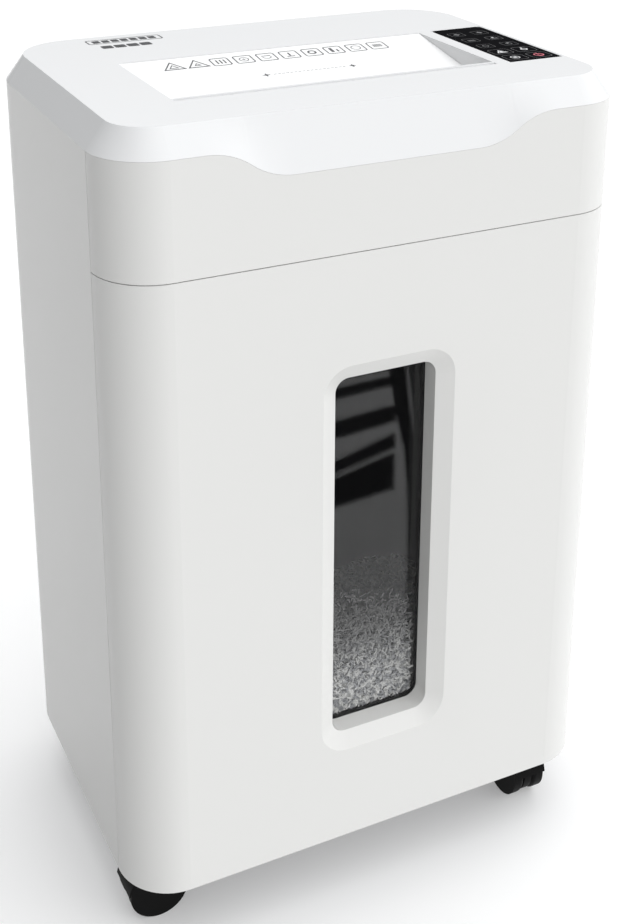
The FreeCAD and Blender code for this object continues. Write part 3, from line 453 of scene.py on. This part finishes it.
def scrap_outline(rng, scale):
    """One cutting: a thin strip of three runs with a little curl, as sixteen corner points."""
    length = scale * rng.uniform(3.4, 6.4) * MM
    width = scale * rng.uniform(0.9, 1.5) * MM
    curl = scale * rng.uniform(-0.7, 1.3) * MM
    points = []
    for step in range(4):
        place = length * (step / 3 - 0.5)
        lift = curl * (1 - (2 * step / 3 - 1) ** 2)
        for side in (-0.5, 0.5):
            for level in (0, 1):
                points.append(Vector((place, side * width, lift + level * PAPER)))
    return points


SCRAP_FACES = [(0, 1, 3, 2), (12, 14, 15, 13)]
for run in range(3):
    base = run * 4
    SCRAP_FACES += [(base, base + 4, base + 5, base + 1), (base + 2, base + 3, base + 7, base + 6),
                    (base, base + 2, base + 6, base + 4), (base + 1, base + 5, base + 7, base + 3)]


CUTTING_GAP = 11 * MM                         # between the loose cuttings and the bin's walls
WINDOW_SIDE_GAP, WINDOW_FOOT_GAP = 7.4 * MM, 7.2 * MM
WINDOW_FILL = 92 * MM                         # how high the paper stands behind the pane


class Cuttings:
    """Many loose cuttings, joined in one mesh."""

    def __init__(self, scale):
        self.scale, self.vertices, self.faces = scale, [], []

    def add(self, rng, place, turn):
        first = len(self.vertices)
        matrix = Matrix.Translation(place) @ turn.to_matrix().to_4x4()
        self.vertices.extend(matrix @ point for point in scrap_outline(rng, self.scale))
        self.faces.extend(tuple(first + index for index in face) for face in SCRAP_FACES)

    def finish(self, name, material):
        mesh = bpy.data.meshes.new(name)
        mesh.from_pydata(self.vertices, [], self.faces)
        item = bpy.data.objects.new(name, mesh)
        scene.collection.objects.link(item)
        mesh.materials.append(material)
        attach(item, "drawer")


def make_cuttings(bin_low, bin_high):
    """Loose cuttings on the heap."""
    rng = random.Random(SEED)
    loose = Cuttings(1.0)
    low = [value + CUTTING_GAP for value in bin_low[:2]]
    high = [value - CUTTING_GAP for value in bin_high[:2]]
    for _ in range(SCRAPS_ON_TOP):
        x, y = inside_corners(rng.uniform(low[0], high[0]), rng.uniform(low[1], high[1]),
                              low, high)
        turn = Euler((rng.gauss(0, 0.4), rng.gauss(0, 0.4), rng.uniform(0, math.tau)))
        loose.add(rng, Vector((x, y, pile_height(x, y) + rng.uniform(-4, 3) * MM)), turn)
    loose.finish("paper_cuttings", paper)


def make_window_cuttings(bin_low, pane_low, pane_high):
    """Finer cuttings pressed flat behind the window, thinning out upwards."""
    rng = random.Random(SEED + 1)
    pressed = Cuttings(0.84)
    left, right = pane_low[0] + WINDOW_SIDE_GAP, pane_high[0] - WINDOW_SIDE_GAP
    foot = pane_low[2] + WINDOW_FOOT_GAP
    for _ in range(SCRAPS_AT_WINDOW):
        rise = rng.random() ** 1.5
        across = rng.random()
        if rng.random() < 0.97 * rise ** 1.3 + 0.2 * across:
            continue
        place = Vector((left + across * (right - left),
                        bin_low[1] + (0.8 + 9.0 * rng.random() ** 1.1) * MM,
                        foot + WINDOW_FILL * rise))
        pressed.add(rng, place, press_flat(rng))
    pressed.finish("window_cuttings", paper_window_painted_shade)


def press_flat(rng):
    """A turn that lays a cutting against the window, at any angle within its plane."""
    lean = Euler((rng.uniform(-0.2, 0.2), 0, rng.uniform(-0.2, 0.2))).to_matrix()
    upright = Euler((math.pi / 2, 0, 0)).to_matrix()
    spin = Euler((0, 0, rng.uniform(0, math.tau))).to_matrix()
    return (lean @ upright @ spin).to_quaternion()


# ---------------------------------------------------------------- printed marks

INK = 0.04 * MM                               # how far print stands off its surface


class Print:
    """Flat shapes on a plane, given by its origin and its two directions, joined in one mesh."""

    def __init__(self, name, origin, right, up, material, body):
        self.name, self.material, self.body = name, material, body
        self.origin, self.right, self.up = Vector(origin), Vector(right), Vector(up)
        self.out = self.right.cross(self.up).normalized()
        self.bm = bmesh.new()

    def place(self, u, v, lift):
        return self.origin + self.right * (u * MM) + self.up * (v * MM) + self.out * lift

    def solid(self, outline, hole=None):
        """A thin plate with the outline, or a thin frame between the outline and the hole."""
        loops = [[[self.bm.verts.new(self.place(u, v, lift)) for u, v in line]
                  for line in (outline, hole) if line] for lift in (0, INK)]
        low, high = loops
        if hole:
            count = len(outline)
            for index in range(count):
                after = (index + 1) % count
                self.bm.faces.new((high[0][index], high[0][after], high[1][after], high[1][index]))
                self.bm.faces.new((low[0][after], low[0][index], low[1][index], low[1][after]))
        else:
            self.bm.faces.new(high[0])
            self.bm.faces.new(list(reversed(low[0])))
        for ring_low, ring_high in zip(low, high):
            for index in range(len(ring_low)):
                after = (index + 1) % len(ring_low)
                self.bm.faces.new((ring_low[index], ring_low[after],
                                   ring_high[after], ring_high[index]))

    def frame(self, u, v, half_u, half_v, line, radius):
        self.solid(rounded(u, v, half_u, half_v, radius),
                   rounded(u, v, half_u - line, half_v - line, max(radius - line, 0.15)))

    def bar(self, u, v, half_u, half_v, radius=0.2):
        self.solid(rounded(u, v, half_u, half_v, min(radius, half_u * 0.95, half_v * 0.95)))

    def ring(self, u, v, radius, line, start=0.0, share=1.0, steps=24):
        if share >= 1:
            self.solid(circle(u, v, radius, steps), circle(u, v, radius - line, steps))
            return
        turns = [math.tau * (start + share * step / steps) for step in range(steps + 1)]
        outer = [(u + radius * math.cos(t), v + radius * math.sin(t)) for t in turns]
        inner = [(u + (radius - line) * math.cos(t), v + (radius - line) * math.sin(t))
                 for t in reversed(turns)]
        self.solid(outer + inner)

    def triangle(self, u, v, size, line):
        def corners(reach):
            return [(u - reach * 0.95, v - reach * 0.62), (u + reach * 0.95, v - reach * 0.62),
                    (u, v + reach)]
        self.solid(corners(size), corners(size - line * 1.9))

    def diamond(self, u, v, size, pinch=0.35):
        points = []
        for index in range(8):
            reach = size if index % 2 == 0 else size * pinch
            angle = index * math.pi / 4
            points.append((u + reach * math.cos(angle), v + reach * math.sin(angle)))
        self.solid(points)

    def finish(self):
        bmesh.ops.recalc_face_normals(self.bm, faces=self.bm.faces)
        new_piece(self.name, self.bm, self.material, self.body)


def rounded(u, v, half_u, half_v, radius, steps=4):
    points = []
    for side_u, side_v, start in ((1, -1, -0.25), (1, 1, 0), (-1, 1, 0.25), (-1, -1, 0.5)):
        for step in range(steps + 1):
            angle = math.tau * (start + 0.25 * step / steps)
            points.append((u + side_u * (half_u - radius) + radius * math.cos(angle),
                           v + side_v * (half_v - radius) + radius * math.sin(angle)))
    return points


def circle(u, v, radius, steps):
    return [(u + radius * math.cos(math.tau * step / steps),
             v + radius * math.sin(math.tau * step / steps)) for step in range(steps)]


def make_feed_marks():
    """Plain pictograms and a dashed line between two stars, printed on the feed plate."""
    low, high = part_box("feed_plate")
    slope = Vector((0, high[1] - low[1], 13 * MM)).normalized()
    origin = Vector((0, high[1], high[2])) + Vector((0, -slope.z, slope.y)) * 0.02 * MM
    marks = Print("feed_marks", origin, (1, 0, 0), slope, ink_grey, "cabinet")
    row, pitch, first = -13.5, 16.4, -80.0
    places = [first + pitch * index for index in range(10)]
    for index, u in enumerate(places[:2]):
        marks.triangle(u, row - 0.5, 8.2, 0.95)
        marks.triangle(u, row - 0.9, 3.6 - index, 0.7)
    for u in places[2:]:
        marks.frame(u, row, 6.5, 6.5, 0.85, 2.0)
    a, b, c, e, f, g, h, k = places[2:]
    marks.bar(a - 2.4, row, 0.5, 3.2)
    marks.bar(a + 0.2, row, 0.5, 3.2)
    marks.bar(a + 2.8, row, 0.5, 3.2)
    marks.ring(b, row, 3.4, 0.6)
    marks.diamond(b, row, 1.5)
    marks.ring(c, row + 0.4, 3.2, 0.6, start=0.5, share=0.5)
    marks.bar(c, row + 2.0, 3.2, 0.45)
    marks.bar(e, row + 0.8, 0.6, 2.6)
    marks.bar(e, row - 2.8, 2.8, 0.5)
    marks.ring(f, row, 3.2, 1.3)
    marks.bar(g - 1.8, row + 0.2, 1.1, 3.6)
    marks.bar(g + 2.2, row - 1.2, 0.6, 2.2)
    marks.ring(h, row, 3.6, 0.6)
    marks.bar(k, row + 1.6, 3.4, 0.45)
    marks.bar(k, row, 3.4, 0.45)
    marks.bar(k, row - 1.6, 3.4, 0.45)
    line = -43.0
    for u in (-27.6, 34.0):
        marks.diamond(u, line, 3.0)
    for index in range(18):
        marks.bar(-21.5 + index * 2.9, line, 0.95, 0.22, 0.1)
    marks.finish()


def make_lid_mark():
    """A plain two-row mark at the rear left of the lid."""
    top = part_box("top_cover")[1][2]
    marks = Print("lid_mark", (-0.086, 0.089, top), (1, 0, 0), (0, 1, 0), ink_dark, "cabinet")
    marks.frame(0, 9.5, 26.5, 6.2, 1.0, 2.4)
    for index in range(7):
        marks.bar(-20 + index * 6.6, 9.5, 2.6, 3.6, 0.9)
    for index in range(4):
        marks.bar(-17.5 + index * 9.0, -7.5, 3.9, 4.2, 1.4)
    marks.finish()


def make_key_marks():
    """Faint key symbols in two columns on the touch panel; the front right one is red."""
    low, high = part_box("control_overlay")
    middle = (low[0] + high[0]) / 2
    front = low[1]
    origin = (middle, front, high[2])
    faint = Print("key_outlines", origin, (1, 0, 0), (0, 1, 0), ink_faint, "cabinet")
    bright = Print("key_symbols", origin, (1, 0, 0), (0, 1, 0), ink_white, "cabinet")
    red = Print("key_red", origin, (1, 0, 0), (0, 1, 0), ink_red, "cabinet")
    left, right = -9.2, 9.2
    small_rows = (47.0, 66.0, 85.0)
    for u in (left, right):
        for v in (11.0, 28.5):
            faint.frame(u, v, 7.6, 6.6, 0.35, 3.0)
        for v in small_rows:
            faint.frame(u, v, 5.6, 4.8, 0.3, 1.6)
    bright.ring(left, 11, 3.4, 0.7)
    bright.bar(left, 11, 1.3, 1.3, 0.5)
    bright.triangle(left, 28.0, 4.4, 0.9)
    bright.bar(left, 28.0, 1.0, 1.6, 0.5)
    bright.ring(right, 28.5, 2.6, 1.0)
    bright.bar(right, 32.2, 0.5, 1.2)
    red.ring(right, 11, 3.6, 0.8, start=0.32, share=0.86)
    red.bar(right, 13.2, 0.55, 2.2)
    red.bar(right, 8.8, 2.0, 0.5)
    for u in (left, right):
        faint.ring(u, small_rows[0], 2.4, 0.6)
        faint.bar(u, small_rows[1], 2.8, 0.5)
        faint.bar(u, small_rows[1] - 1.8, 2.8, 0.5)
        faint.diamond(u, small_rows[2], 3.0, 0.5)
    for v in small_rows[:2]:
        bright.bar(right, v + 1.8, 0.8, 0.8, 0.3)
    for marks in (faint, bright, red):
        marks.finish()


# ---------------------------------------------------------------- build

slot_of = {row["node"]: row["material_slot"] for row in frame["record"]["subparts"]}
make_camera()
make_studio()
make_reflection_cards()
materials = make_materials()
paper = paper_material("paper", (0.74, 0.75, 0.77), (0.98, 0.97, 0.95))
# the paper behind the window gets painted shade, fading to grey from 140 to 205 mm up
paper_window_painted_shade = paper_material("paper_window_painted_shade", (0.50, 0.51, 0.53), (1.0, 1.0, 0.98),
                              painted_shade=(0.140, 0.205, 0.15))
# dark grey paper for the heap's body: painted shade, seen through the gaps between the cuttings
paper_core_painted_shade = paper_material("paper_core_painted_shade", (0.26, 0.26, 0.265), (0.50, 0.50, 0.505))
ink_dark = ink_material("ink_dark", (0.020, 0.021, 0.024), (0.035, 0.036, 0.040))
ink_grey = ink_material("ink_grey", (0.045, 0.045, 0.05), (0.075, 0.075, 0.08))
ink_faint = ink_material("ink_faint", (0.085, 0.085, 0.09), (0.12, 0.12, 0.125))
ink_white = ink_material("ink_white", (0.60, 0.60, 0.61), (0.72, 0.72, 0.73))
ink_red = ink_material("ink_red", (0.62, 0.10, 0.15), (0.75, 0.16, 0.21))
for node_name in nodes:
    finish_node(node_name)
bin_box, pane_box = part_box("waste_bin"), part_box("window_pane")
make_heap(*bin_box)
make_cuttings(*bin_box)
make_window_cuttings(bin_box[0], *pane_box)
make_feed_marks()
make_lid_mark()
make_key_marks()
